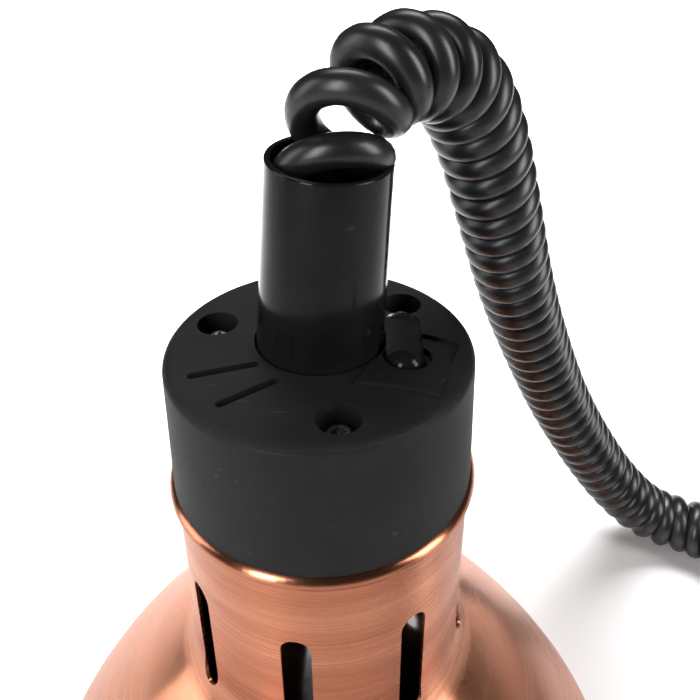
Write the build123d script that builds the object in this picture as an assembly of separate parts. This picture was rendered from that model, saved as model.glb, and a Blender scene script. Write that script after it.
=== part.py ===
from build123d import *
import os
from math import atan2, cos, degrees, pi, radians, sin, sqrt, tan

# Pull-down warming lamp: copper shade, black top housing, leaning cord sleeve, curly
# cord and ceiling canopy. Millimetres, +Z up. The origin is the centre of the shade's
# mouth, on the surface that the lamp stands on. -Y is the side with the switch's front.

os.makedirs("parts", exist_ok=True)

# --- Driving dimensions -------------------------------------------------------------

# Shade, spun from sheet
shade_wall = 1.0            # sheet thickness
neck_radius = 44.8          # outside of the straight neck
neck_foot = 110.6           # height at which the neck starts to flare
shade_height = 173.0        # top of the shade's flange
flare_radius = 22.0         # concave bend between neck and bell
flare_angle = 45.0          # how far the flare turns, degrees
bell_radius = 333.0         # gentle bulge of the bell
bell_angle = 28.2           # slope left where the bell's edge bend starts, degrees
edge_radius = 26.4          # bend that brings the bell upright at its rim
bead_radius = 2.2           # wired rim
bead_sink = 0.2             # how much of the bead is flattened to stand on
shoulder_radius = 2.4       # rolled shoulder under the housing
shade_joint = 98.0          # height at which the bell is told from the neck
shade_hole_radius = 31.0    # opening in the shade's top flange
slot_count = 8
slot_width = 8.8
slot_top = 146.3
slot_bottom = 102.5
slot_angle = -146.9         # bearing of the first slot, degrees

# Housing, moulded
housing_height = 41.0       # from the shade's flange to the housing's top face
cap_top = shade_height + housing_height
cap_radius = 44.0           # at the top
cap_foot_radius = 45.1      # at the bottom
cap_wall = 2.5
cap_round = 2.5             # rounding of the top edge
base_rim = 2.3              # part of the base plate that shows below the housing
base_floor = 2.0            # thickness of the base plate
base_spigot = 4.0           # collar of the base plate inside the housing
fit_gap = 0.15              # clearance between moulded pieces
vent_width = 2.6
vents = [((-34.3, -12.8), (-17.8, -8.6)), ((-25.6, -25.0), (-12.2, -16.3))]

# Housing screws
screw_circle = 32.45        # radius of the circle they stand on
screw_count = 3
screw_angle = -82.5         # bearing of the first one, degrees
screw_radius = 1.75
screw_length = 29.0
screw_head_radius = 3.6
screw_head_height = 2.6
screw_clearance = 0.45      # radial, in the housing
screw_bite = 0.05           # radial, in the base's bosses
counterbore_radius = 6.07
counterbore_depth = 7.0
boss_radius = 8.2
boss_split = shade_height + 13.0    # height at which the two bosses meet

# Shade screws, from inside the shade up into the base plate
shade_screw_circle = 36.85
shade_screw_turn = 30.0     # bearing after each housing screw, degrees
shade_screw_radius = 1.7
shade_screw_boss = 4.4
shield_inner = 22.0         # heat shield disc
shield_outer = 41.0
shield_wall = 0.6

# Cord sleeve
sleeve_x = 0.4
sleeve_y = 3.9
sleeve_lean_x = 3.7         # lean towards +X, degrees
sleeve_lean_y = -3.34       # lean towards +Y, degrees
sleeve_foot_radius = 18.35
sleeve_mouth_radius = 16.5
sleeve_height = 56.0        # above the housing
sleeve_wall = 1.75
sleeve_depth = 7.4          # below the housing's top face
sleeve_floor = 2.4
sleeve_gap = 0.6            # radial, in the housing's hole
collar_radius = 20.8
collar_height = 2.4

# Curly cord
strand = 9.0                # diameter of the cord itself
coil = 29.0                 # outside diameter of the coil
relief_gap = 0.1            # between the cord and its strain relief
coil_foot = cap_top + 17.0  # height at which the coil starts inside the sleeve
# The route of the coil's centre line after the sleeve, chosen by hand.
coil_route = [
    (17.0, 6.5, 290.0),
    (36.0, 23.0, 287.0),
    (49.0, 36.5, 267.0),
    (60.0, 47.5, 235.0),
    (74.0, 64.0, 194.0),
    (92.0, 84.0, 152.0),
    (112.0, 100.0, 109.0),
    (134.0, 110.5, 70.0),
    (156.0, 114.5, 37.0),
    (178.0, 112.0, 14.8),
    (204.0, 99.0, 14.8),
    (222.0, 72.0, 14.8),
    (226.0, 41.0, 14.8),
    (218.0, 9.0, 14.8),
    (206.0, -22.0, 14.8),
    (199.0, -50.0, 14.8),
]
sleeve_top_corner = cap_top + 62.0  # the coil stays on the sleeve's axis up to here

# Switch
switch_x = 24.4
switch_y = -7.3
switch_turn = -19.0         # bearing of the lever's hinge pin, degrees
switch_hole_radius = 6.9
switch_pivot_drop = 3.8     # pivot below the housing's top face
ball_radius = 5.9
lever_lean = 12.0           # rest position of the lever, degrees to the back
lever_reach = 15.3          # from the pivot to the paddle's tip
lever_offset = -0.8         # lever beside the middle of its hole, along the pin
tip_offset = -1.5           # and the paddle's tip beside its foot
paddle_foot = (9.8, 4.6)
paddle_tip = (9.2, 2.6)
crown_rise = 1.4            # rounded top of the paddle
pin_radius = 1.0
pin_gap = 0.05
switch_length = 15.4        # along the pin
switch_width = 17.0
switch_foot = cap_top - 17.0        # height of its underside
pad_front = 1.2             # switch pad above the top face at its front edge
pad_back = 1.4              # and below it at its back edge

# Lampholder and bulb
holder_radius = 21.0
holder_top = shade_height + 14.0
holder_height = 35.0
holder_bore_radius = 17.0
shell_radius = 13.6         # threaded shell's outside
shell_wall = 0.4
bulb_radius = 62.5
bulb_length = 168.0
bulb_glass = 1.2
bulb_cap_radius = 12.9
bulb_top = holder_top - 9.0         # tip of the bulb's contact
bulb_cap_top = bulb_top - 4.0
bulb_cap_foot = bulb_top - 25.5     # where the glass meets the screw cap
bulb_bottom = bulb_top - bulb_length

# Ceiling canopy, lying on its side
canopy_x = 190.5
canopy_y = -109.0
canopy_heading = -102.0     # bearing from the cord end to the open end, degrees
canopy_neck_radius = 17.0
canopy_mouth_radius = 46.0
canopy_depth = 62.0
canopy_wall = 1.6
canopy_floor = 3.0
gland_radius = 8.0
bracket_holes = 60.0        # distance between the two ceiling screws
bracket_hole_radius = 2.6


# --- Helpers ------------------------------------------------------------------------

def polar(radius, angle, height=0.0):
    return Vector(radius * cos(radians(angle)), radius * sin(radians(angle)), height)


def arc_point(centre, radius, angle):
    return (centre[0] + radius * cos(radians(angle)), centre[1] + radius * sin(radians(angle)))


def arc_edge(centre, radius, start, end):
    points = [arc_point(centre, radius, a) for a in (start, (start + end) / 2, end)]
    return ThreePointArc(*[(x, 0, z) for x, z in points])


def line_edge(a, b):
    return Line((a[0], 0, a[1]), (b[0], 0, b[1]))


def turned(edges):
    """A solid of revolution about Z from edges drawn in the XZ plane."""
    return revolve(make_face(Wire(Curve() + edges).edges()), Axis.Z)


def turned_outline(points):
    """A solid of revolution from a closed outline of (radius, height) points."""
    corners = [(r, 0, z) for r, z in points]
    return revolve(make_face(Polyline(*corners, close=True).edges()), Axis.Z)


def rod(radius, bottom, top, x=0.0, y=0.0):
    return Pos(x, y, (bottom + top) / 2) * Cylinder(radius, top - bottom)


def hexagon(across_flats, bottom, top):
    return extrude(Pos(0, 0, bottom) * RegularPolygon(across_flats / 2, 6, major_radius=False), top - bottom)


def save(shape, name):
    solids = shape.solids()
    export_step(Compound(children=list(solids)) if len(solids) > 1 else solids[0], f"parts/{name}.step")


# --- Shade --------------------------------------------------------------------------

def bell_centres():
    """Centres of the flare's, bell's and edge's arcs, from the neck down."""
    flare = (neck_radius + flare_radius, neck_foot)
    end = arc_point(flare, flare_radius, 180 + flare_angle)
    bell = (end[0] - bell_radius * cos(radians(flare_angle)), end[1] - bell_radius * sin(radians(flare_angle)))
    end = arc_point(bell, bell_radius, bell_angle)
    edge = (end[0] - edge_radius * cos(radians(bell_angle)), end[1] - edge_radius * sin(radians(bell_angle)))
    return flare, bell, edge


def make_shade():
    flare, bell, edge = bell_centres()
    rim = edge[0] + edge_radius
    bead = (rim - 0.4, bead_radius - bead_sink)
    shoulder = (neck_radius - 0.6, shade_height - shoulder_radius)
    outer_top = degrees(atan2(-sqrt(shoulder_radius ** 2 - 0.36), 0.6))
    inner_radius = shoulder_radius - shade_wall
    inner_top = degrees(atan2(-sqrt(inner_radius ** 2 - 0.16), -0.4)) + 360
    bead_out = degrees(atan2(sqrt(bead_radius ** 2 - 0.16), 0.4))
    bead_in = degrees(atan2(sqrt(bead_radius ** 2 - 0.36), -0.6))
    bead_low = degrees(atan2(-bead[1], sqrt(bead_radius ** 2 - bead[1] ** 2)))
    outer_end = arc_point(shoulder, shoulder_radius, outer_top)
    inner_end = arc_point(shoulder, inner_radius, inner_top - 360)
    wall = shade_wall
    edges = [
        line_edge((shade_hole_radius, shade_height), (shoulder[0], shade_height)),
        arc_edge(shoulder, shoulder_radius, 90, outer_top),
        line_edge(outer_end, (neck_radius, neck_foot)),
        arc_edge(flare, flare_radius, 180, 180 + flare_angle),
        arc_edge(bell, bell_radius, flare_angle, bell_angle),
        arc_edge(edge, edge_radius, bell_angle, 0),
        line_edge((rim, edge[1]), arc_point(bead, bead_radius, bead_out)),
        arc_edge(bead, bead_radius, bead_out, bead_low),
        line_edge(arc_point(bead, bead_radius, bead_low), arc_point(bead, bead_radius, 180 - bead_low)),
        arc_edge(bead, bead_radius, 180 - bead_low, bead_in),
        line_edge(arc_point(bead, bead_radius, bead_in), (rim - wall, edge[1])),
        arc_edge(edge, edge_radius - wall, 0, bell_angle),
        arc_edge(bell, bell_radius - wall, bell_angle, flare_angle),
        arc_edge(flare, flare_radius + wall, 180 + flare_angle, 180),
        line_edge((neck_radius - wall, neck_foot), inner_end),
        arc_edge(shoulder, inner_radius, inner_top - 360, 90),
        line_edge((shoulder[0], shade_height - wall), (shade_hole_radius, shade_height - wall)),
        line_edge((shade_hole_radius, shade_height - wall), (shade_hole_radius, shade_height)),
    ]
    shade = turned(edges)
    middle = (slot_top + slot_bottom) / 2
    face = Plane(origin=(neck_radius - 8, 0, middle), x_dir=(0, 0, 1), z_dir=(1, 0, 0))
    slot = extrude(face * SlotOverall(slot_top - slot_bottom, slot_width), 20)
    for k in range(slot_count):
        shade -= Rot(0, 0, slot_angle + k * 360 / slot_count) * slot
    for spot in shade_screw_spots():
        shade -= rod(shade_screw_radius + 0.2, shade_height - 3, shade_height + 1, spot.X, spot.Y)
    return shade


def screw_spots():
    return [polar(screw_circle, screw_angle + k * 360 / screw_count) for k in range(screw_count)]


def shade_screw_spots():
    turn = screw_angle + shade_screw_turn
    return [polar(shade_screw_circle, turn + k * 360 / screw_count) for k in range(screw_count)]


def pan_screw(radius, head_radius, head_height, length):
    """A pan-head screw along -Z, its head on the plane z = 0."""
    head = Pos(0, 0, head_height / 2) * Cylinder(head_radius, head_height)
    head = fillet(head.edges().sort_by(Axis.Z)[-1], head_height * 0.45)
    cross = Pos(0, 0, head_height) * (Box(head_radius * 1.1, 0.9, 2.2) + Box(0.9, head_radius * 1.1, 2.2))
    return head + rod(radius, -length, 0.0) - cross


def make_heat_shield():
    top = shade_height - shade_wall
    disc = rod(shield_outer, top - shield_wall, top) - rod(shield_inner, top - 2, top + 1)
    for spot in shade_screw_spots():
        disc -= rod(shade_screw_radius + 0.2, top - 2, top + 1, spot.X, spot.Y)
    return disc


def make_shade_screws():
    top = shade_height - shade_wall - shield_wall
    screw = Rot(180, 0, 0) * pan_screw(shade_screw_radius, 3.2, 2.0, 9.0)
    return Compound(children=[Pos(spot.X, spot.Y, top) * screw for spot in shade_screw_spots()])


# --- Housing ------------------------------------------------------------------------

base_top = shade_height + base_rim
cap_inner = cap_radius - cap_wall
cap_ceiling = cap_top - cap_wall - 0.1
screw_seat = cap_top - counterbore_depth
sleeve_foot = Plane(origin=(sleeve_x, sleeve_y, cap_top),
                    x_dir=(cos(radians(sleeve_lean_x)), 0, -sin(radians(sleeve_lean_x))),
                    z_dir=(tan(radians(sleeve_lean_x)), tan(radians(sleeve_lean_y)), 1))
switch_frame = Pos(switch_x, switch_y, 0) * Rot(0, 0, switch_turn)
switch_pivot = cap_top - switch_pivot_drop
plate_top = cap_top - 9.3
plate_wall = 1.2
plate_lugs = [(-3.5, 29.6), (-19.4, -13.8)]
lug_radius = 3.2


def cap_body():
    outline = [
        Line((0, 0, cap_top), (cap_radius - cap_round, 0, cap_top)),
        arc_edge((cap_radius - cap_round, cap_top - cap_round), cap_round, 90, 0),
        Line((cap_radius, 0, cap_top - cap_round), (cap_foot_radius, 0, base_top)),
        Line((cap_foot_radius, 0, base_top), (cap_foot_radius - cap_wall, 0, base_top)),
        Line((cap_foot_radius - cap_wall, 0, base_top), (cap_inner, 0, cap_ceiling)),
        Line((cap_inner, 0, cap_ceiling), (0, 0, cap_ceiling)),
        Line((0, 0, cap_ceiling), (0, 0, cap_top)),
    ]
    return turned(outline)


def pad_face():
    """The switch pad's outline about the switch, its front edge hollowed."""
    front = ThreePointArc((-10.5, -16.4), (0.4, -14.9), (11.5, -15.8))
    rest = Polyline((11.5, -15.8), (13.1, 10.4), (-7.0, 12.5), (-10.5, -16.4))
    return make_face((front + rest).edges())


def make_cap():
    cap = cap_body()
    for spot in screw_spots():
        cap += rod(boss_radius, boss_split, cap_ceiling + 0.5, spot.X, spot.Y)
    outside = turned_outline([(cap_radius - 0.6, 170), (70, 170), (70, 230), (cap_radius - 0.6, 230)])
    # the pad is a wedge: proud at its front edge and sunk at its back edge
    slope = degrees(atan2(pad_front + pad_back, 28.0))
    block = switch_frame * Pos(0, 0, cap_top - 4) * extrude(pad_face(), 8)
    level = switch_frame * Pos(0, -2, cap_top + (pad_front - pad_back) / 2) * Rot(-slope, 0, 0)
    cap -= block & (level * Pos(0, 0, 10) * Box(60, 60, 20))
    cap += (block & (level * Pos(0, 0, -10) * Box(60, 60, 20)) & rod(cap_radius - 2.6, cap_top - 2.4, cap_top + 8))
    for x, y in plate_lugs:
        cap += rod(lug_radius, plate_top, cap_ceiling + 0.5, x, y)
    cap -= outside & rod(80, cap_top - 1, cap_top + 20)
    for spot in screw_spots():
        cap -= rod(counterbore_radius, screw_seat, cap_top + 5, spot.X, spot.Y)
        cap -= rod(screw_radius + screw_clearance, boss_split - 1, cap_top, spot.X, spot.Y)
    cap -= sleeve_foot * Cylinder(sleeve_foot_radius + sleeve_gap, 20)
    cap -= switch_frame * rod(switch_hole_radius, cap_top - 6, cap_top + 6)
    for x, y in plate_lugs:
        cap -= rod(1.2, plate_top - 1, plate_top + 5.5, x, y)
    for (ax, ay), (bx, by) in vents:
        turn = degrees(atan2(by - ay, bx - ax))
        length = sqrt((bx - ax) ** 2 + (by - ay) ** 2) + vent_width
        slot = extrude(SlotOverall(length, vent_width), 12)
        cap -= Pos((ax + bx) / 2, (ay + by) / 2, cap_top - 6) * Rot(0, 0, turn) * slot
    return cap


def make_base():
    base = rod(cap_foot_radius, shade_height, base_top)
    spigot = cap_foot_radius - cap_wall - fit_gap
    base -= rod(spigot - 2.0, shade_height + base_floor, base_top + 1)
    base += rod(spigot, base_top - 0.3, base_top + base_spigot) - rod(spigot - 2.0, base_top - 1, base_top + 9)
    for spot in screw_spots():
        base += rod(boss_radius - 0.6, shade_height + 1, boss_split, spot.X, spot.Y)
    for spot in shade_screw_spots():
        base += rod(shade_screw_boss, shade_height + 1, shade_height + 10, spot.X, spot.Y)
    base &= rod(cap_foot_radius, shade_height, base_top) + rod(spigot, base_top - 1, cap_top)
    for spot in screw_spots():
        base -= rod(screw_radius + screw_bite, shade_height + 2, boss_split + 1, spot.X, spot.Y)
    for spot in shade_screw_spots():
        base -= rod(shade_screw_radius + screw_bite, shade_height - 1, shade_height + 8, spot.X, spot.Y)
    base -= rod(holder_radius + 1.0, shade_height - 1, base_top + 1)
    for x, y in bracket_feet():
        base -= rod(1.5, shade_height - 1, base_top, x, y)
    return base


def make_cap_screws():
    screw = pan_screw(screw_radius, screw_head_radius, screw_head_height, screw_length)
    return Compound(children=[Pos(s.X, s.Y, screw_seat) * screw for s in screw_spots()])


# --- Cord sleeve --------------------------------------------------------------------

def make_sleeve():
    def cone(gap, bottom, top):
        slope = (sleeve_mouth_radius - sleeve_foot_radius) / sleeve_height
        low = sleeve_foot_radius - gap + slope * bottom
        high = sleeve_foot_radius - gap + slope * top
        return turned_outline([(0, bottom), (low, bottom), (high, top), (0, top)])
    tube = cone(0, -sleeve_depth, sleeve_height)
    tube -= cone(sleeve_wall, sleeve_floor - sleeve_depth, sleeve_height + 1)
    tube = fillet(tube.edges().group_by(Axis.Z)[-1], 0.6)
    tube += rod(collar_radius, -sleeve_depth, collar_height - sleeve_depth) - rod(12, -20, 0)
    tube -= rod(7.0, -sleeve_depth - 1, 0)
    solid = sleeve_foot * tube
    # the collar is cut flat where the switch stands beside it
    flat = switch_frame * Pos(-switch_length / 2 - 0.3 + 20, 0, cap_top - 14) * Box(40, 60, 20)
    return solid - flat


def make_sleeve_plate():
    plate = rod(21.0, plate_top - plate_wall, plate_top, sleeve_x, sleeve_y)
    for x, y in plate_lugs:
        plate += rod(4.2, plate_top - plate_wall, plate_top, x, y)
        middle = Vector((x + sleeve_x) / 2, (y + sleeve_y) / 2, plate_top - plate_wall / 2)
        turn = degrees(atan2(y - sleeve_y, x - sleeve_x))
        reach = sqrt((x - sleeve_x) ** 2 + (y - sleeve_y) ** 2)
        plate += Pos(middle) * Rot(0, 0, turn) * Box(reach, 8.4, plate_wall)
    plate -= rod(10.2, plate_top - 3, plate_top + 1, sleeve_x, sleeve_y)
    for x, y in plate_lugs:
        plate -= rod(1.6, plate_top - 3, plate_top + 1, x, y)
    return plate - switch_frame * Pos(-switch_length / 2 - 0.4 + 20, 0, plate_top) * Box(40, 60, 20)


def make_plate_screws():
    screw = Rot(180, 0, 0) * pan_screw(1.15, 2.6, 1.6, 6.0)
    return Compound(children=[Pos(x, y, plate_top - plate_wall) * screw for x, y in plate_lugs])


def make_strain_relief():
    foot = -sleeve_depth
    bore = strand / 2 + relief_gap
    groove = foot + sleeve_floor + 0.1
    outline = [(bore, foot - 3), (8.6, foot - 3), (8.6, foot - 0.05), (6.9, foot - 0.05), (6.9, groove),
               (8.4, groove), (8.0, foot + 6), (bore + 0.8, 14.0), (bore, 14.0)]
    return sleeve_foot * turned_outline(outline)


def make_cord_stop():
    return sleeve_foot * (rod(7.6, -16.0, -11.0) - rod(strand / 2 + 0.05, -17, -10))


# --- Switch -------------------------------------------------------------------------

def make_switch_body():
    top = cap_ceiling - 0.2
    body = Pos(0, 0, (switch_foot + top) / 2) * Box(switch_length, switch_width, top - switch_foot)
    body = fillet(body.edges().filter_by(Axis.Z), 1.0)
    body -= Pos(lever_offset, 0, switch_pivot) * Sphere(ball_radius + 0.3)
    body -= Pos(lever_offset, 0, switch_pivot - 8.9) * Box(8.0, 13.0, 7.2)
    body -= Pos(0, 0, switch_pivot) * Rot(0, 90, 0) * Cylinder(pin_radius + pin_gap, switch_length + 2)
    for v in (-5.0, 0.0):
        body -= Pos(0, v, switch_foot + 1) * Box(5.0, 1.0, 6.0)
    return switch_frame * body


def make_lever():
    ball = Sphere(ball_radius)
    foot_u, foot_v = paddle_foot
    tip_u, tip_v = paddle_tip
    foot = Pos(0, 0, 2.0) * Rectangle(foot_u, foot_v)
    tip = Pos(tip_offset, 0, lever_reach - crown_rise) * Rectangle(tip_u, tip_v)
    paddle = loft([foot.face(), tip.face()])
    arch = extrude(arch_face(tip_u, crown_rise), tip_v / 2, both=True)
    crown = Pos(tip_offset, 0, lever_reach - crown_rise) * Rot(90, 0, 0) * arch
    lever = ball + paddle + crown
    lever += rod(1.2, -9.4, -5.0)
    lever -= Rot(0, 90, 0) * Cylinder(pin_radius + pin_gap, 20)
    return switch_frame * Pos(lever_offset, 0, switch_pivot) * Rot(-lever_lean, 0, 0) * lever


def arch_face(width, rise):
    half = width / 2
    return make_face((ThreePointArc((-half, 0), (0, rise), (half, 0)) + Line((half, 0), (-half, 0))).edges())


def make_switch_pin():
    return switch_frame * Pos(0, 0, switch_pivot) * Rot(0, 90, 0) * Cylinder(pin_radius, switch_length - 0.4)


contact_height = switch_foot + 2.3
contact_lean = 4.8
knuckle_radius = 0.6
terminal_foot = switch_foot - 2.8


def make_switch_contact():
    strip = Pos(0, 0, 0.3) * Box(5.0, 11.0, 0.6)
    knuckle = Rot(0, 90, 0) * Cylinder(knuckle_radius, 5.0)
    return switch_frame * Pos(0, 0, contact_height) * Rot(contact_lean, 0, 0) * (strip + knuckle)


def make_switch_terminals():
    top = contact_height - knuckle_radius - 0.2
    middle = (terminal_foot + top) / 2
    end = Pos(0, -5.0, middle - 0.15) * Box(4.8, 0.8, top - terminal_foot - 0.3)
    centre = Pos(0, 0, middle) * Box(4.8, 0.8, top - terminal_foot)
    return Compound(children=[switch_frame * end, switch_frame * centre])


# --- Lampholder ---------------------------------------------------------------------

holder_foot = holder_top - holder_height
bracket_wall = 1.5
bracket_turn = 127.5
bracket_width = 12.0


def bracket_feet():
    spots = [polar(27.5, bracket_turn), polar(27.5, bracket_turn + 180)]
    return [(s.X, s.Y) for s in spots]


def make_holder():
    body = rod(holder_radius, holder_foot, holder_top)
    body = fillet(body.edges().sort_by(Axis.Z)[0], 1.5)
    body -= rod(holder_bore_radius, holder_foot - 1, holder_foot + 5)
    body -= rod(shell_radius + 0.1, holder_foot, bulb_top + 3.0)
    for reach in (-12.5, 12.5):
        spot = polar(reach, bracket_turn)
        body -= rod(1.75, holder_top - 4, holder_top + 1, spot.X, spot.Y)
    return body


def make_holder_shell():
    foot = holder_foot + 5.0
    return rod(shell_radius, foot, bulb_cap_top + 2) - rod(shell_radius - shell_wall, foot - 1, bulb_cap_top + 3)


def make_holder_contact():
    disc = rod(7.0, bulb_top + 0.3, bulb_top + 1.1)
    tongue = Pos(0, 0, bulb_top + 2.0) * Box(5.0, 5.0, 1.9)
    return disc + tongue


def make_holder_bracket():
    half = holder_radius + 1.6 + bracket_wall
    top = holder_top + bracket_wall
    strap = Pos(0, 0, holder_top + bracket_wall / 2) * Box(2 * half, bracket_width, bracket_wall)
    foot = shade_height + base_floor
    for side in (-1, 1):
        strap += Pos(side * (half - bracket_wall / 2), 0, (foot + top) / 2) * Box(bracket_wall, bracket_width, top - foot)
        strap += Pos(side * (half + 3.5), 0, foot + bracket_wall / 2) * Box(9.0, bracket_width, bracket_wall)
    strap = Rot(0, 0, bracket_turn) * strap
    for x, y in bracket_feet():
        strap -= rod(1.8, foot - 1, foot + 4, x, y)
    for reach in (-12.5, 12.5):
        spot = polar(reach, bracket_turn)
        strap -= rod(1.9, holder_top - 1, holder_top + 4, spot.X, spot.Y)
    return strap


def make_bracket_screws():
    screw = pan_screw(1.45, 2.8, 1.8, 3.4)
    low = [Pos(x, y, shade_height + base_floor + bracket_wall) * screw for x, y in bracket_feet()]
    longer = pan_screw(1.7, 3.0, 1.8, 5.0)
    spots = [polar(reach, bracket_turn) for reach in (-12.5, 12.5)]
    high = [Pos(s.X, s.Y, holder_top + bracket_wall) * longer for s in spots]
    return Compound(children=low + high)


# --- Bulb ---------------------------------------------------------------------------

def bulb_solid(inset):
    """The envelope's outline turned, all round smaller by the inset."""
    low = bulb_bottom
    points = [(30, low + 3.6), (52, low + 14), (60.5, low + 26), (bulb_radius, low + 38), (60, low + 52),
              (50, low + 70), (37, low + 90), (27.5, low + 108), (21.5, low + 124), (14.0, bulb_cap_foot - 3.5)]
    inner = [(r - inset, z + (inset if z < low + 30 else 0)) for r, z in points]
    start = (0, 0, low + inset)
    side = Spline(start, *[(r, 0, z) for r, z in inner], tangents=((1, 0, 0), (-0.55, 0, 1)))
    neck_top = bulb_cap_foot
    end = inner[-1]
    edges = side.edges() + [
        Line((end[0], 0, end[1]), (12.4 - inset, 0, neck_top)),
        Line((12.4 - inset, 0, neck_top), (0, 0, neck_top)),
        Line((0, 0, neck_top), start),
    ]
    return turned(edges)


def make_bulb_glass():
    return bulb_solid(0) - bulb_solid(bulb_glass)


def make_bulb_cap():
    cap = rod(bulb_cap_radius, bulb_cap_foot, bulb_cap_top)
    return cap - rod(bulb_cap_radius - 0.4, bulb_cap_foot - 1, bulb_cap_top + 1)


def make_bulb_insulator():
    return turned_outline([(0, bulb_cap_top - 3), (12.4, bulb_cap_top - 3), (12.4, bulb_cap_top), (5.4, bulb_top - 1.5),
                           (0, bulb_top - 1.5)])


def make_bulb_contact():
    dome = rod(4.8, bulb_top - 1.2, bulb_top)
    return fillet(dome.edges().sort_by(Axis.Z)[-1], 0.8)


def make_bulb_stem():
    foot = bulb_cap_foot - 47.5
    seal = bulb_cap_foot - 1
    stem = turned_outline([(0, foot), (3.0, foot), (3.6, foot + 35), (10.6, seal - 3), (10.6, seal), (0, seal)])
    for k in range(3):
        arm = Line(polar(2.0, 120 * k + 30, foot + 2), polar(15.0, 120 * k + 30, foot - 13))
        stem += sweep(Plane(origin=arm @ 0, z_dir=arm % 0) * Circle(0.5), arm)
    return stem


def make_bulb_filament():
    return Pos(0, 0, bulb_cap_foot - 61.5) * Torus(15.6, 0.9)


# --- Wiring -------------------------------------------------------------------------

block_bearing = 217.5
block_reach = 31.0
block_foot = shade_height + base_floor
block_size = (12.0, 26.0, 12.0)
block_ways = (-10.0, -5.0, 0.0, 5.0, 10.0)
block_frame = Rot(0, 0, block_bearing) * Pos(block_reach, 0, 0)
lead_radius = 1.2
lead_height = terminal_foot - 2.4   # at which the leads cross to the terminal block


def make_terminal_block():
    depth, length, height = block_size
    block = Pos(0, 0, block_foot + height / 2) * Box(depth, length, height)
    block = fillet(block.edges().filter_by(Axis.Z), 1.2)
    for t in block_ways:
        block -= Pos(2.4, t, block_foot + height) * Cylinder(1.9, 8)
        block -= Pos(-2.6, t, block_foot + height) * Cylinder(lead_radius + 0.1, 8)
    return block_frame * block


def make_terminal_screws():
    screw = rod(1.8, block_foot + block_size[2] - 3.9, block_foot + block_size[2] - 1)
    screw -= Pos(0, 0, block_foot + block_size[2] - 1) * Box(4, 0.7, 1.0)
    return Compound(children=[block_frame * Pos(2.4, t, 0) * screw for t in block_ways])


def lead(points, bends):
    path = FilletPolyline(*points, radius=bends)
    return sweep(Plane(origin=path @ 0, z_dir=path % 0) * Circle(lead_radius), path)


def make_mains_leads():
    leads = []
    for way, turn in ((-10.0, -60), (0.0, 60), (-5.0, 180)):
        core = polar(2.8, block_bearing + turn)
        start = (sleeve_foot * Pos(core.X, core.Y, cord_end)).position
        knee = (sleeve_foot * Pos(core.X, core.Y, cord_end - 3.4)).position
        target = (block_frame * Pos(-2.6, way, block_foot + block_size[2] - 3.5)).position
        over = Vector(target.X, target.Y, lead_height)
        leads.append(lead([tuple(p) for p in (start, knee, over, target)], 1.6))
    return Compound(children=leads)


def make_holder_leads():
    gap = block_reach - block_size[0] / 2
    inner = holder_radius
    rods = []
    for t in (-6.0, 6.0):
        start = sqrt(inner ** 2 - t ** 2)
        straight = Pos((start + gap) / 2, t, block_foot + 7.0) * Rot(0, 90, 0) * Cylinder(lead_radius, gap - start)
        rods.append(Rot(0, 0, block_bearing) * (straight - Pos(0, 0, block_foot + 7.0) * Cylinder(inner, 10)))
    return Compound(children=rods)


def make_switch_leads():
    leads = []
    for way, v in ((10.0, -5.0), (5.0, 0.0)):
        start = (switch_frame * Pos(0, v, terminal_foot)).position
        knee = start - Vector(0, 0, 2.0)
        target = (block_frame * Pos(-2.6, way, block_foot + block_size[2] - 3.5)).position
        over = Vector(target.X, target.Y, lead_height)
        leads.append(lead([tuple(p) for p in (start, knee, over, target)], 1.5))
    return Compound(children=leads)


# --- Curly cord ---------------------------------------------------------------------

cord_end = -17.5            # where the sheath ends, along the sleeve's axis


def axis_point(height):
    """The point of the sleeve's leaning axis at a height."""
    rise = height - cap_top
    return Vector(sleeve_x + rise * tan(radians(sleeve_lean_x)), sleeve_y + rise * tan(radians(sleeve_lean_y)), height)


def tube_along(points, diameter, name):
    """A round tube on straight runs joined by tangent arcs, each as large as its runs allow."""
    corners = [Vector(*p) for p in points]
    radii = []
    for a, b, c in zip(corners, corners[1:], corners[2:]):
        half = radians((b - a).get_angle(c - b)) / 2
        radii.append(0.45 * min((b - a).length, (c - b).length) / tan(half))
    path = FilletPolyline(*corners, radius=radii)
    tube = sweep(Plane(origin=path @ 0, z_dir=path % 0) * Circle(diameter / 2), path)
    ideal = pi * diameter ** 2 / 4 * path.length
    print(name, "length", round(path.length, 1), "volume / section x length", round(tube.volume / ideal, 4))
    print("  radii", [round(r, 1) for r in radii])
    return tube


def make_curly_cord():
    start = axis_point(coil_foot)
    corner = axis_point(sleeve_top_corner)
    return tube_along([start, corner] + coil_route, coil, "curly_cord")


def make_cord_entry():
    top = (coil_foot - cap_top) / cos(radians(5.0)) - 0.05
    return sleeve_foot * rod(strand / 2, cord_end, top)


def make_cord_tail():
    start = Vector(*coil_route[-1])
    before = Vector(*coil_route[-2])
    ahead = start + (start - before).normalized() * 8.0
    dip = (canopy_frame * Pos(0, 0, -31.4)).position
    end = (canopy_frame * Pos(0, 0, tail_end)).position
    return tube_along([tuple(p) for p in (start, ahead, dip, end)], strand, "cord_tail")


# --- Canopy -------------------------------------------------------------------------

canopy_tilt = degrees(atan2(canopy_mouth_radius - canopy_neck_radius, canopy_depth))
canopy_frame = Pos(canopy_x, canopy_y, canopy_neck_radius * cos(radians(canopy_tilt)))
canopy_frame *= Rot(0, 0, canopy_heading) * Rot(0, 90 - canopy_tilt, 0)
tail_end = 14.0             # the sheath's end inside the canopy
bar_foot = 55.5             # bracket bar's inner face, from the small end
bar_half = 39.8
bar_wall = 1.5


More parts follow.
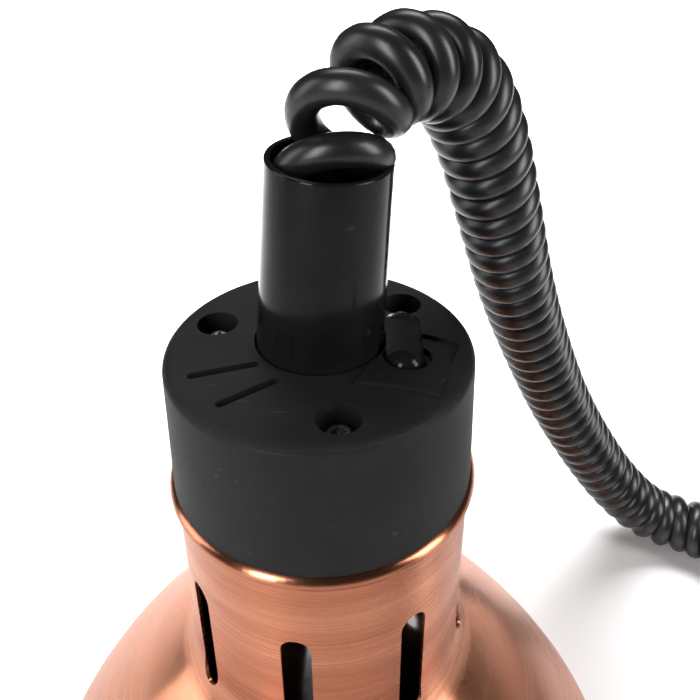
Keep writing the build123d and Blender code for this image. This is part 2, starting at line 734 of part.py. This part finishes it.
def make_canopy_cup():
    inset = canopy_wall / cos(radians(canopy_tilt))
    slope = (canopy_mouth_radius - canopy_neck_radius) / canopy_depth
    low = canopy_neck_radius + canopy_floor * slope - inset
    cup = turned_outline([(gland_radius + 0.1, 0), (canopy_neck_radius, 0), (canopy_mouth_radius, canopy_depth),
                          (canopy_mouth_radius - inset, canopy_depth), (low, canopy_floor), (gland_radius + 0.1, canopy_floor)])
    cup -= Pos(0, 0, bar_foot + 3.6) * Rot(90, 0, 0) * Cylinder(1.7, 120)
    return canopy_frame * cup


def make_canopy_gland():
    gland = hexagon(22, -6, 0) + rod(gland_radius, -0.5, 9) + rod(7.0, -12, -5)
    return canopy_frame * (gland - rod(strand / 2 + 0.1, -20, 20))


def make_canopy_gland_nut():
    nut = hexagon(17, -16, -6.3) & turned_outline([(0, -16), (8.2, -16), (12, -12), (12, -6), (0, -6)])
    return canopy_frame * (nut - rod(7.05, -12.1, -5) - rod(strand / 2 + 0.1, -20, 0))


def make_canopy_locknut():
    return canopy_frame * (hexagon(22, canopy_floor, canopy_floor + 4) - rod(gland_radius + 0.05, 0, 9))


def make_canopy_bracket():
    bar = Pos(0, 0, bar_foot + bar_wall / 2) * Box(14, 2 * bar_half, bar_wall)
    for side in (-1, 1):
        bar += Pos(0, side * (bar_half - bar_wall / 2), bar_foot + 3.1) * Box(10, bar_wall, 6.2)
        bar -= Pos(0, side * bracket_holes / 2, 0) * rod(bracket_hole_radius, bar_foot - 1, bar_foot + 4)
    bar -= Pos(0, 0, bar_foot + 3.6) * Rot(90, 0, 0) * Cylinder(1.45, 100)
    bar -= rod(1.6, bar_foot - 1, bar_foot + 4, 0, 9.0) + rod(1.6, bar_foot - 1, bar_foot + 4, 0, -9.0)
    return canopy_frame * bar


def make_canopy_screws():
    slope = (canopy_mouth_radius - canopy_neck_radius) / canopy_depth
    reach = canopy_neck_radius + (bar_foot + 3.6 + 3.0) * slope + 0.1
    screw = pan_screw(1.4, 3.0, 1.7, reach - bar_half + 3.0)
    place = canopy_frame * Pos(0, 0, bar_foot + 3.6)
    return Compound(children=[place * Rot(side * 90, 0, 0) * Pos(0, 0, reach) * screw for side in (-1, 1)])


def make_canopy_block():
    block = Pos(0, 0, bar_foot - 6) * Box(13, 26, 12)
    block = fillet(block.edges().filter_by(Axis.Z), 1.2)
    for t in (-6.5, 0.0, 6.5):
        block -= Pos(0, t, bar_foot - 12) * Cylinder(lead_radius + 0.1, 8)
        block -= Pos(6.5, t, bar_foot - 5.5) * Rot(0, 90, 0) * Cylinder(1.9, 8)
    block -= rod(1.2, bar_foot - 6, bar_foot + 1, 0, 10.6)
    return canopy_frame * block


def make_canopy_block_screws():
    screw = Rot(0, 90, 0) * (rod(1.8, 2.6, 5.6) - Pos(0, 0, 5.6) * Box(4, 0.7, 1.0))
    place = canopy_frame * Pos(0, 0, bar_foot - 5.5)
    return Compound(children=[place * Pos(0, t, 0) * screw for t in (-6.5, 0.0, 6.5)])


def make_canopy_leads():
    leads = []
    for t, turn in ((-6.5, -90), (6.5, 90), (0.0, 180)):
        core = polar(2.8, turn)
        bottom = bar_foot - 12 + 3.5
        points = [(core.X, core.Y, tail_end), (core.X, core.Y, 22.0), (0, t, 34.0), (0, t, bottom)]
        if t == 0.0:
            points = [(core.X, core.Y, tail_end), (core.X, core.Y, 22.0), (0, t, 33.0), (0, t, bottom)]
        leads.append(lead(points, 6.0))
    return canopy_frame * Compound(children=leads)


# --- Export -------------------------------------------------------------------------

shade = make_shade()
save(shade & rod(200, shade_joint, shade_height + 1), "shade_neck")
save(shade & rod(200, -1, shade_joint), "shade_bell")
save(make_heat_shield(), "heat_shield")
save(make_shade_screws(), "shade_screws")
save(make_cap(), "housing_cap")
save(make_base(), "housing_base")
save(make_cap_screws(), "housing_screws")
save(make_sleeve(), "cord_sleeve")
save(make_sleeve_plate(), "sleeve_plate")
save(make_plate_screws(), "sleeve_plate_screws")
save(make_strain_relief(), "strain_relief")
save(make_cord_stop(), "cord_stop")
save(make_switch_body(), "switch_body")
save(make_lever(), "switch_lever")
save(make_switch_pin(), "switch_pin")
save(make_switch_contact(), "switch_contact")
save(make_switch_terminals(), "switch_terminals")
save(make_holder(), "lampholder_body")
save(make_holder_shell(), "lampholder_shell")
save(make_holder_contact(), "lampholder_contact")
save(make_holder_bracket(), "lampholder_bracket")
save(make_bracket_screws(), "lampholder_screws")
save(make_bulb_glass(), "bulb_glass")
save(make_bulb_cap(), "bulb_cap")
save(make_bulb_insulator(), "bulb_insulator")
save(make_bulb_contact(), "bulb_contact")
save(make_bulb_stem(), "bulb_stem")
save(make_bulb_filament(), "bulb_filament")
save(make_terminal_block(), "terminal_block")
save(make_terminal_screws(), "terminal_screws")
save(make_mains_leads(), "mains_leads")
save(make_holder_leads(), "lampholder_leads")
save(make_switch_leads(), "switch_leads")
save(make_cord_entry(), "cord_entry")
save(make_curly_cord(), "curly_cord")
save(make_cord_tail(), "cord_tail")
save(make_canopy_cup(), "canopy_cup")
save(make_canopy_gland(), "canopy_gland")
save(make_canopy_gland_nut(), "canopy_gland_nut")
save(make_canopy_locknut(), "canopy_locknut")
save(make_canopy_bracket(), "canopy_bracket")
save(make_canopy_screws(), "canopy_screws")
save(make_canopy_block(), "canopy_block")
save(make_canopy_block_screws(), "canopy_block_screws")
save(make_canopy_leads(), "canopy_leads")
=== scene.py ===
from math import cos, pi, radians, sin

import bmesh
import bpy
from mathutils import Matrix, Vector


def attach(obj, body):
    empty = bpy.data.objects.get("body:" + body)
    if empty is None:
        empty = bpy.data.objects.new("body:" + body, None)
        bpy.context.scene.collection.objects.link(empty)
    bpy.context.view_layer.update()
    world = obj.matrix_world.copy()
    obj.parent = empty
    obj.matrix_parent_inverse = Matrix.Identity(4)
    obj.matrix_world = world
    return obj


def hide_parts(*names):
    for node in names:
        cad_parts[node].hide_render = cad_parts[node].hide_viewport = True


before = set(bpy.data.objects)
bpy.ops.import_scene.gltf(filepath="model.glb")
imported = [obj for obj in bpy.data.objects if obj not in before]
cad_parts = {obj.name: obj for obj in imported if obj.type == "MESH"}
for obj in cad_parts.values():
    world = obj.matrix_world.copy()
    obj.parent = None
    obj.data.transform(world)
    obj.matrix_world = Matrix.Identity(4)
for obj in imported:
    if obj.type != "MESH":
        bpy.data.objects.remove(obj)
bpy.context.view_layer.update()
mm = 0.001
scene = bpy.context.scene
print("frame loaded:", len(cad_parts), "nodes")


# ---- camera: seen from the front and above, close to the housing
cameraLook = {
    "place": (0.0, -0.1742, 0.3345),
    "down": 27.51,  # degrees below the horizon
    "right": 2.50,  # degrees towards +X
    "roll": -0.64,
    "lens": 38.05,
    "shiftX": 0.00714,
    "shiftY": -0.14286,
}


def makeCamera(look):
    down, right, roll = radians(look["down"]), radians(look["right"]), radians(look["roll"])
    ahead = Vector((sin(right) * cos(down), cos(right) * cos(down), -sin(down)))
    level = Vector((cos(right), -sin(right), 0))
    up = level.cross(ahead)
    across = level * cos(roll) + up * sin(roll)
    above = up * cos(roll) - level * sin(roll)
    data = bpy.data.cameras.new("camera")
    data.lens = look["lens"]
    data.sensor_width = 36
    data.shift_x = look["shiftX"]
    data.shift_y = look["shiftY"]
    data.clip_start = 0.01
    camera = bpy.data.objects.new("camera", data)
    turn = Matrix((across, above, -ahead)).transposed().to_4x4()
    camera.matrix_world = Matrix.Translation(look["place"]) @ turn
    scene.collection.objects.link(camera)
    scene.camera = camera


makeCamera(cameraLook)


# ---- shader tools
class Wire:  # one socket, so that maths on it reads like maths
    def __init__(self, finish, socket):
        self.finish = finish
        self.socket = socket

    def maths(self, operation, a, b=0.0):
        return self.finish.node("ShaderNodeMath", {"operation": operation}, {0: a, 1: b})

    def __add__(self, other):
        return self.maths("ADD", self, other)

    def __mul__(self, other):
        return self.maths("MULTIPLY", self, other)

    def __pow__(self, other):
        return self.maths("POWER", self, other)

    __radd__ = __add__
    __rmul__ = __mul__


class Finish:  # one material and the nodes in it
    def __init__(self, name, **fixed):
        self.material = bpy.data.materials.new(name)
        self.material.use_nodes = True
        self.tree = self.material.node_tree
        self.shader = self.tree.nodes["Principled BSDF"]
        for label, value in fixed.items():
            self.shader.inputs[label.replace("_", " ")].default_value = value

    def node(self, kind, settings=None, inputs=None, output=0):
        made = self.tree.nodes.new(kind)
        for label, value in (settings or {}).items():
            if label == "stops":
                ramp = made.color_ramp
                for k, (place, colour) in enumerate(value):
                    stop = ramp.elements[k] if k < 2 else ramp.elements.new(place)
                    stop.position = place
                    stop.color = colour
            else:
                setattr(made, label, value)
        for label, value in (inputs or {}).items():
            self.link(value, made.inputs[label])
        return Wire(self, made.outputs[output])

    def link(self, value, socket):
        if isinstance(value, Wire):
            self.tree.links.new(value.socket, socket)
        elif isinstance(value, (tuple, list)) and socket.type == "RGBA":
            socket.default_value = (*value[:3], 1)
        else:
            socket.default_value = value

    def feed(self, label, value):
        self.link(value, self.shader.inputs[label])

    def place(self, scale=(1, 1, 1), location=(0, 0, 0), rotation=(0, 0, 0)):
        where = self.node("ShaderNodeTexCoord", output=3)
        turned = {"Vector": where, "Scale": scale, "Location": location, "Rotation": rotation}
        return self.node("ShaderNodeMapping", None, turned)

    def noise(self, scale, detail=3.0, rough=0.55, stretch=(1, 1, 1), at=None):
        inputs = {"Vector": at or self.place(stretch), "Scale": scale, "Detail": detail, "Roughness": rough}
        return self.node("ShaderNodeTexNoise", None, inputs)

    def clamp(self, value, low, high, toLow=0.0, toHigh=1.0):
        ranges = {0: value, 1: low, 2: high, 3: toLow, 4: toHigh}
        return self.node("ShaderNodeMapRange", None, ranges)

    def blend(self, factor, a, b):
        return self.node("ShaderNodeMix", {"data_type": "RGBA"}, {0: factor, 6: a, 7: b}, output=2)

    def bump(self, height, strength, distance):
        inputs = {"Height": height, "Strength": strength, "Distance": distance}
        self.feed("Normal", self.node("ShaderNodeBump", None, inputs))


def spunCoordinates(finish):
    # x, y, height and distance from the vertical axis, so that streaks run round the shade
    where = finish.node("ShaderNodeTexCoord", output=3)
    split = finish.node("ShaderNodeSeparateXYZ", None, {0: where})
    x = split
    y = Wire(finish, split.socket.node.outputs[1])
    z = Wire(finish, split.socket.node.outputs[2])
    reach = (x * x + y * y) ** 0.5
    return x, y, z, reach


# ---- finishes
def copperFinish(settings):
    finish = Finish("copper", Metallic=1.0, Anisotropic=settings["anisotropic"],
                    Anisotropic_Rotation=settings["brushTurn"])
    x, y, z, reach = spunCoordinates(finish)

    def spun(across, lines):
        # close-set up the wall and drawn out round it
        parts = {0: x * across, 1: y * across, 2: z * lines + reach * lines}
        return finish.node("ShaderNodeCombineXYZ", None, parts)

    fine = finish.noise(1.0, 4.0, 0.7, at=spun(6, settings["lines"]))
    broad = finish.noise(1.0, 3.0, 0.6, at=spun(9, settings["bands"]))
    cloud = finish.noise(22, 3.0, 0.5)
    lift = finish.clamp(fine * 0.45 + broad * 0.35 + cloud * 0.2, 0.34, 0.66)
    finish.feed("Base Color", finish.blend(lift, settings["deep"], settings["pale"]))
    roughness = finish.clamp(fine * 0.6 + cloud * 0.4, 0.3, 0.7, settings["roughLow"], settings["roughHigh"])
    finish.feed("Roughness", roughness)
    finish.bump(fine, settings["bump"], settings["relief"])
    return finish.material


def mouldedFinish(settings):
    finish = Finish(settings["name"], Metallic=0.0, **settings.get("fixed", {}))
    grain = finish.noise(settings["grain"], 4.0, 0.6)
    cloud = finish.noise(settings["cloud"], 4.0, 0.6)
    scuffAt = finish.place((60, 900, 500), rotation=(0.3, 0.5, 0.7))
    scuff = finish.clamp(finish.noise(1.0, 2.0, 0.5, at=scuffAt), 0.66, 0.74)
    worn = scuff * finish.clamp(cloud, 0.5, 0.62)
    base = finish.blend(finish.clamp(cloud, 0.35, 0.65), settings["deep"], settings["pale"])
    finish.feed("Base Color", finish.blend(worn * settings["wear"], base, settings["scuff"]))
    roughness = finish.clamp(grain * 0.5 + cloud * 0.5, 0.3, 0.7, settings["roughLow"], settings["roughHigh"])
    finish.feed("Roughness", roughness)
    finish.bump(grain + scuff * 0.3, settings["bump"], settings["relief"])
    return finish.material


def metalFinish(settings):
    finish = Finish(settings["name"], Metallic=1.0)
    streak = finish.noise(1.0, 4.0, 0.65, at=finish.place(settings["stretch"]))
    cloud = finish.noise(180, 3.0, 0.55)
    tone = finish.clamp(streak * 0.5 + cloud * 0.5, 0.35, 0.65)
    finish.feed("Base Color", finish.blend(tone, settings["deep"], settings["pale"]))
    finish.feed("Roughness", finish.clamp(streak, 0.3, 0.7, settings["roughLow"], settings["roughHigh"]))
    finish.bump(streak, settings["bump"], 0.00003)
    return finish.material


def glassFinish(settings):
    finish = Finish(settings["name"], Metallic=0.0, IOR=1.5, Coat_Weight=settings["coat"],
                    Transmission_Weight=settings["through"])
    speck = finish.noise(1600, 3.0, 0.6)
    cloud = finish.noise(35, 3.0, 0.5)
    finish.feed("Base Color", finish.blend(finish.clamp(cloud, 0.4, 0.6), settings["deep"], settings["pale"]))
    finish.feed("Roughness", finish.clamp(speck, 0.3, 0.7, settings["roughLow"], settings["roughHigh"]))
    finish.bump(speck, settings["bump"], 0.00002)
    return finish.material


def bulbFinish(settings):
    # frosted below, mirror coated from the bulb's widest part up
    finish = Finish(settings["name"], IOR=1.5, Coat_Weight=0.4, Coat_Roughness=0.08)
    height = spunCoordinates(finish)[2]
    coated = finish.clamp(height, settings["edge"] - settings["fade"], settings["edge"] + settings["fade"])
    speck = finish.noise(1400, 3.0, 0.6)
    cloud = finish.noise(60, 3.0, 0.5)
    face = finish.blend(cloud, settings["face"], settings["paleFace"])
    mirror = finish.blend(cloud, settings["mirror"], settings["paleMirror"])
    finish.feed("Base Color", finish.blend(coated, face, mirror))
    finish.feed("Metallic", coated)
    finish.feed("Roughness", finish.clamp(speck * 0.4 + coated * -0.5, -0.5, 0.4, 0.10, 0.5))
    finish.bump(speck, 0.08, 0.00002)
    return finish.material


copper = copperFinish({
    "deep": (0.42, 0.135, 0.068),
    "pale": (0.74, 0.33, 0.20),
    "lines": 1500,  # brush lines to the metre
    "roughLow": 0.20,
    "roughHigh": 0.32,
    "bands": 160,  # broader bands to the metre
    "anisotropic": 0.85,
    "brushTurn": 0.25,  # of a whole turn, so that the highlight runs down the shade
    "bump": 0.25,
    "relief": 0.00005,
})
charcoal = mouldedFinish({
    "name": "charcoal",
    "deep": (0.009, 0.009, 0.010),
    "pale": (0.014, 0.014, 0.015),
    "scuff": (0.09, 0.09, 0.09),
    "wear": 0.3,
    "grain": 2600,
    "cloud": 45,
    "roughLow": 0.50,
    "roughHigh": 0.64,
    "bump": 0.35,
    "relief": 0.00006,
    "fixed": {"Specular_IOR_Level": 0.18},
})
glossBlack = mouldedFinish({
    "name": "glossBlack",
    "deep": (0.006, 0.006, 0.007),
    "pale": (0.009, 0.009, 0.010),
    "scuff": (0.05, 0.05, 0.05),
    "wear": 0.25,
    "grain": 900,
    "cloud": 60,
    "roughLow": 0.10,
    "roughHigh": 0.17,
    "bump": 0.06,
    "relief": 0.00003,
    "fixed": {"Specular_IOR_Level": 0.15},
})
sheath = mouldedFinish({
    "name": "sheath",
    "deep": (0.008, 0.008, 0.009),
    "pale": (0.013, 0.013, 0.014),
    "scuff": (0.06, 0.06, 0.06),
    "wear": 0.4,
    "grain": 1500,
    "cloud": 70,
    "roughLow": 0.27,
    "roughHigh": 0.38,
    "bump": 0.10,
    "relief": 0.00004,
})
softRubber = mouldedFinish({
    "name": "softRubber",
    "deep": (0.010, 0.010, 0.010),
    "pale": (0.016, 0.016, 0.016),
    "scuff": (0.05, 0.05, 0.05),
    "wear": 0.3,
    "grain": 1800,
    "cloud": 90,
    "roughLow": 0.5,
    "roughHigh": 0.66,
    "bump": 0.2,
    "relief": 0.00005,
})
whitePlastic = mouldedFinish({
    "name": "whitePlastic",
    "deep": (0.70, 0.69, 0.66),
    "pale": (0.78, 0.77, 0.74),
    "scuff": (0.5, 0.49, 0.46),
    "wear": 0.2,
    "grain": 1400,
    "cloud": 60,
    "roughLow": 0.38,
    "roughHigh": 0.5,
    "bump": 0.1,
    "relief": 0.00004,
})
ceramic = mouldedFinish({
    "name": "ceramic",
    "deep": (0.70, 0.67, 0.61),
    "pale": (0.80, 0.78, 0.73),
    "scuff": (0.55, 0.5, 0.42),
    "wear": 0.3,
    "grain": 1100,
    "cloud": 50,
    "roughLow": 0.30,
    "roughHigh": 0.5,
    "bump": 0.25,
    "relief": 0.00008,
})
leadBrown = mouldedFinish({
    "name": "leadBrown",
    "deep": (0.10, 0.040, 0.018),
    "pale": (0.15, 0.060, 0.026),
    "scuff": (0.2, 0.1, 0.06),
    "wear": 0.2,
    "grain": 1800,
    "cloud": 80,
    "roughLow": 0.32,
    "roughHigh": 0.45,
    "bump": 0.1,
    "relief": 0.00003,
})
nickel = metalFinish({
    "name": "nickel",
    "deep": (0.36, 0.33, 0.30),
    "pale": (0.66, 0.63, 0.59),
    "stretch": (500, 500, 1500),
    "roughLow": 0.16,
    "roughHigh": 0.34,
    "bump": 0.25,
})
zincSheet = metalFinish({
    "name": "zincSheet",
    "deep": (0.42, 0.42, 0.42),
    "pale": (0.62, 0.62, 0.61),
    "stretch": (120, 900, 900),
    "roughLow": 0.26,
    "roughHigh": 0.44,
    "bump": 0.2,
})
brass = metalFinish({
    "name": "brass",
    "deep": (0.50, 0.33, 0.12),
    "pale": (0.72, 0.52, 0.23),
    "stretch": (300, 300, 1200),
    "roughLow": 0.2,
    "roughHigh": 0.36,
    "bump": 0.2,
})
tinned = metalFinish({
    "name": "tinned",
    "deep": (0.50, 0.50, 0.50),
    "pale": (0.72, 0.72, 0.71),
    "stretch": (260, 260, 900),
    "roughLow": 0.22,
    "roughHigh": 0.38,
    "bump": 0.2,
})
coatedGlass = bulbFinish({
    "name": "bulbGlass",
    "edge": 0.052,  # height in metres at which the mirror coating starts
    "fade": 0.0008,  # m, half the width of the coating's soft edge
    "face": (0.74, 0.72, 0.68),
    "paleFace": (0.84, 0.83, 0.80),
    "mirror": (0.30, 0.30, 0.30),
    "paleMirror": (0.42, 0.42, 0.42),
})
clearGlass = glassFinish({
    "name": "clearGlass",
    "deep": (0.85, 0.88, 0.87),
    "pale": (0.93, 0.95, 0.94),
    "coat": 0.0,
    "through": 0.9,
    "roughLow": 0.03,
    "roughHigh": 0.06,
    "bump": 0.02,
})
print("finishes made")


# ---- curly cord: one curve from the cord stop to the canopy
cordLook = {
    "strand": 9.0,  # mm
    "coil": 29.0,  # mm outside
    "pulledIn": 1.02,  # a smooth curve runs inside its points, so they stand out by this share
    "pitch": 9.25,  # mm along the coil where it is closed
    "openPitch": 18.0,  # where it is pulled apart over the arch
    "openFrom": (54.0, 62.0),  # mm along the route, where it starts to open and where it is open
    "openTo": (74.0, 92.0),
    "start": 31.0,  # where the coil begins, mm along the route
    "turnIn": 9.0,  # mm over which the strand moves out to the coil's radius
    "phase": 305.0,  # degrees, the bearing at which the coil begins
    "leanFrom": (44.0, 54.0),  # the loose rings over the arch lean towards leanTo
    "leanTo": (0.1, 0.9, 0.45),
    "lean": 0.65,
    "widen": 0.12,  # share by which the loose rings are wider
    "pointsPerTurn": 14,
    "plainStep": 5.0,  # mm between points where the strand isn't coiled
    "routeLength": 703.0,  # mm, of the route below
    "coilStops": 625.5,  # mm along the route, where the coil ends
}
# The coil's centre line, from the cord stop to the canopy, in metres.
cordRoute = [
    (-0.00038, 0.00464, 0.2015),
    (0.00150, 0.00291, 0.2310),
    (0.00441, 0.00028, 0.2760),
    (0.0170, 0.0065, 0.2900),
    (0.0360, 0.0230, 0.2870),
    (0.0490, 0.0365, 0.2670),
    (0.0600, 0.0475, 0.2350),
    (0.0740, 0.0640, 0.1940),
    (0.0920, 0.0840, 0.1520),
    (0.1120, 0.1000, 0.1090),
    (0.1340, 0.1105, 0.0700),
    (0.1560, 0.1145, 0.0370),
    (0.1780, 0.1120, 0.0150),
    (0.2040, 0.0990, 0.0150),
    (0.2220, 0.0720, 0.0150),
    (0.2260, 0.0410, 0.0150),
    (0.2180, 0.0090, 0.0150),
    (0.2060, -0.0220, 0.0150),
    (0.1990, -0.0500, 0.0150),
    (0.1971, -0.0578, 0.0148),
    (0.1964, -0.0812, 0.0021),
    (0.1879, -0.1214, 0.0213),
]


def curveFrom(points, name, radius=0.0):
    data = bpy.data.curves.new(name, "CURVE")
    data.dimensions = "3D"
    data.resolution_u = 4
    spline = data.splines.new("NURBS")
    spline.points.add(len(points) - 1)
    for point, place in zip(spline.points, points):
        point.co = (*place, 1)
    spline.order_u = 3
    spline.use_endpoint_u = True
    data.bevel_depth = radius
    data.bevel_resolution = 6
    data.use_fill_caps = radius > 0
    made = bpy.data.objects.new(name, data)
    scene.collection.objects.link(made)
    return made


def pointsOn(points):
    # the smooth line through a route's control points, as a list of close points
    guide = curveFrom(points, "guide")
    guide.data.resolution_u = 24
    bpy.context.view_layer.update()
    mesh = bpy.data.meshes.new_from_object(guide)
    found = [v.co.copy() for v in mesh.vertices]
    bpy.data.meshes.remove(mesh)
    bpy.data.objects.remove(guide)
    return found


def carriedFrames(line):
    # at each point: the distance so far, the direction, and a side that turns as little as it can
    frames = []
    side = Vector((1, 0, 0))
    travelled = 0.0
    for k, place in enumerate(line):
        ahead = (line[min(k + 1, len(line) - 1)] - line[max(k - 1, 0)]).normalized()
        side = (side - ahead * side.dot(ahead)).normalized()
        if k:
            travelled += (place - line[k - 1]).length
        frames.append((travelled / mm, place, ahead, side.copy()))
    return frames


def frameAt(frames, distance):
    low, high = 0, len(frames) - 1
    while high - low > 1:
        middle = (low + high) // 2
        if frames[middle][0] <= distance:
            low = middle
        else:
            high = middle
    a, b = frames[low], frames[high]
    t = min(max((distance - a[0]) / max(b[0] - a[0], 1e-9), 0.0), 1.0)
    return a[1].lerp(b[1], t), a[2].lerp(b[2], t).normalized(), a[3].lerp(b[3], t).normalized()


def ease(value, low, high):
    t = min(max((value - low) / (high - low), 0.0), 1.0)
    return t * t * (3 - 2 * t)


def curlyPoints(look, route):
    frames = carriedFrames(pointsOn(route))
    total = frames[-1][0]
    coilEnd = look["coilStops"] * total / look["routeLength"]
    reach = (look["coil"] - look["strand"]) / 2
    points = []
    distance, angle = 0.0, radians(look["phase"])
    while distance < total:
        out = ease(distance, look["start"], look["start"] + look["turnIn"])
        out *= 1 - ease(distance, coilEnd - look["turnIn"], coilEnd)
        closing = 1 - ease(distance, *look["openTo"])
        loose = ease(distance, *look["leanFrom"]) * closing
        opened = ease(distance, *look["openFrom"]) * closing
        place, ahead, side = frameAt(frames, distance)
        ahead = ahead.lerp(Vector(look["leanTo"]).normalized(), look["lean"] * loose).normalized()
        side = (side - ahead * side.dot(ahead)).normalized()
        offset = side * cos(angle) + ahead.cross(side) * sin(angle)
        points.append(place + offset * (reach * out * (1 + look["widen"] * loose) * mm * look["pulledIn"]))
        pitch = look["pitch"] + (look["openPitch"] - look["pitch"]) * opened
        if look["start"] - 1 < distance < coilEnd + 1:
            distance += pitch / look["pointsPerTurn"]
            angle += 2 * pi / look["pointsPerTurn"]
        else:
            distance += look["plainStep"]
    points.append(frames[-1][1])
    return points


def lengthOf(points):
    return sum((b - a).length for a, b in zip(points, points[1:]))


curly = curlyPoints(cordLook, cordRoute)
cord = curveFrom(curly, "curlyCord", cordLook["strand"] / 2 * mm)
cord.data.materials.append(sheath)
cordLength = lengthOf(curly)
print("cord:", len(curly), "points,", round(cordLength, 3), "m")


# ---- CAD nodes that keep their shape: merged copies with smooth shading
shadeJoint = 0.098  # m, where the bell meets the neck


def smoothCopy(nodes, name, finish, body="lamp", angle=32):
    bm = bmesh.new()
    for node in nodes:
        bm.from_mesh(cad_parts[node].data)
    if len(nodes) > 1:
        # the faces where the nodes meet are inside the sheet
        joint = [f for f in bm.faces if all(abs(v.co.z - shadeJoint) < 1e-6 for v in f.verts)]
        bmesh.ops.delete(bm, geom=joint, context="FACES")
    bmesh.ops.remove_doubles(bm, verts=bm.verts, dist=2e-6)
    for face in bm.faces:
        face.smooth = True
    mesh = bpy.data.meshes.new(name)
    bm.to_mesh(mesh)
    bm.free()
    # the normals stored for the separate facets don't fit the merged ones
    mesh.attributes.remove(mesh.attributes["custom_normal"])
    mesh.set_sharp_from_angle(angle=radians(angle))
    mesh.materials.append(finish)
    made = bpy.data.objects.new(name, mesh)
    scene.collection.objects.link(made)
    even = made.modifiers.new("evenShading", "WEIGHTED_NORMAL")
    even.keep_sharp = True
    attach(made, body)
    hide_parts(*nodes)
    return made


for node, slot, finish, body in [
    ("heat_shield", "bright_metal", zincSheet, "lamp"),
    ("shade_screws", "screw_metal", nickel, "lamp"),
    ("housing_cap", "black_moulded", charcoal, "lamp"),
    ("housing_base", "black_moulded", charcoal, "lamp"),
    ("housing_screws", "screw_metal", nickel, "lamp"),
    ("cord_sleeve", "black_gloss", glossBlack, "lamp"),
    ("sleeve_plate", "bright_metal", zincSheet, "lamp"),
    ("sleeve_plate_screws", "screw_metal", nickel, "lamp"),
    ("strain_relief", "black_rubber", softRubber, "lamp"),
    ("cord_stop", "black_rubber", softRubber, "lamp"),
    ("switch_body", "black_moulded", charcoal, "lamp"),
    ("switch_lever", "black_gloss", glossBlack, "lever"),
    ("switch_pin", "screw_metal", nickel, "lamp"),
    ("switch_contact", "contact_brass", brass, "rocker"),
    ("switch_terminals", "contact_brass", brass, "lamp"),
    ("lampholder_body", "white_ceramic", ceramic, "lamp"),
    ("lampholder_shell", "contact_brass", brass, "lamp"),
    ("lampholder_contact", "contact_brass", brass, "lamp"),
    ("lampholder_bracket", "bright_metal", zincSheet, "lamp"),
    ("lampholder_screws", "screw_metal", nickel, "lamp"),
    ("bulb_glass", "bulb_glass", coatedGlass, "bulb"),
    ("bulb_cap", "bulb_cap_metal", tinned, "bulb"),
    ("bulb_insulator", "black_glass", glossBlack, "bulb"),
    ("bulb_contact", "bulb_cap_metal", tinned, "bulb_thread"),
    ("bulb_stem", "stem_glass", clearGlass, "bulb"),
    ("bulb_filament", "filament", tinned, "bulb"),
    ("terminal_block", "white_moulded", whitePlastic, "lamp"),
    ("terminal_screws", "contact_brass", brass, "lamp"),
    ("mains_leads", "lead_brown", leadBrown, "lamp"),
    ("lampholder_leads", "lead_brown", leadBrown, "lamp"),
    ("switch_leads", "lead_brown", leadBrown, "lamp"),
    ("canopy_cup", "black_moulded", charcoal, "lamp"),
    ("canopy_gland", "black_gloss", glossBlack, "lamp"),
    ("canopy_gland_nut", "black_gloss", glossBlack, "lamp"),
    ("canopy_locknut", "black_gloss", glossBlack, "lamp"),
    ("canopy_bracket", "bright_metal", zincSheet, "lamp"),
    ("canopy_screws", "screw_metal", nickel, "lamp"),
    ("canopy_block", "white_moulded", whitePlastic, "lamp"),
    ("canopy_block_screws", "contact_brass", brass, "lamp"),
    ("canopy_leads", "lead_brown", leadBrown, "lamp"),
]:
    smoothCopy([node], node + "_smooth", finish, body)
shade = smoothCopy(["shade_neck", "shade_bell"], "shade_smooth", copper)

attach(cord, "lamp")
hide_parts("curly_cord", "cord_tail", "cord_entry")


# ---- floor and light
studio = {
    "floor": (0.92, 0.92, 0.92),
    "world": 0.05,
    "lamps": [
        # name, place, aimed at, width, height, spread in degrees, watts
        ("overTable", (0.0, 0.66, 1.20), (0.0, 0.66, 0.0), 1.0, 0.5, 76, 10.0),
        ("overBack", (0.0, 1.90, 1.60), (0.0, 2.00, 0.0), 2.4, 1.4, 100, 60.0),
        ("softLeft", (-0.56, -0.70, 0.55), (0, 0, 0.15), 0.30, 0.9, 120, 3.8),
        ("softRight", (0.83, -0.34, 0.55), (0, 0, 0.15), 0.34, 0.9, 120, 3.6),
        ("sideLeft", (-0.92, 0.05, 0.45), (0, 0, 0.2), 0.40, 0.9, 120, 1.4),
    ],
}


def makeStudio(look):
    bm = bmesh.new()
    bmesh.ops.create_grid(bm, x_segments=2, y_segments=2, size=6.0)
    mesh = bpy.data.meshes.new("floor")
    bm.to_mesh(mesh)
    bm.free()
    floor = bpy.data.objects.new("floor", mesh)
    scene.collection.objects.link(floor)
    finish = Finish("paleFloor", Roughness=0.9)
    finish.feed("Base Color", look["floor"])
    mesh.materials.append(finish.material)
    world = bpy.data.worlds.new("room")
    world.use_nodes = True
    world.node_tree.nodes["Background"].inputs[0].default_value = (1, 1, 1, 1)
    world.node_tree.nodes["Background"].inputs[1].default_value = look["world"]
    scene.world = world
    for name, place, aim, width, height, spread, watts in look["lamps"]:
        data = bpy.data.lights.new(name, "AREA")
        data.shape = "RECTANGLE"
        data.size = width
        data.size_y = height
        data.spread = radians(spread)
        data.energy = watts
        lamp = bpy.data.objects.new(name, data)
        turn = (Vector(aim) - Vector(place)).to_track_quat("-Z", "Y").to_matrix().to_4x4()
        lamp.matrix_world = Matrix.Translation(place) @ turn
        scene.collection.objects.link(lamp)
    scene.view_settings.view_transform = "Standard"


makeStudio(studio)
print("studio lit")
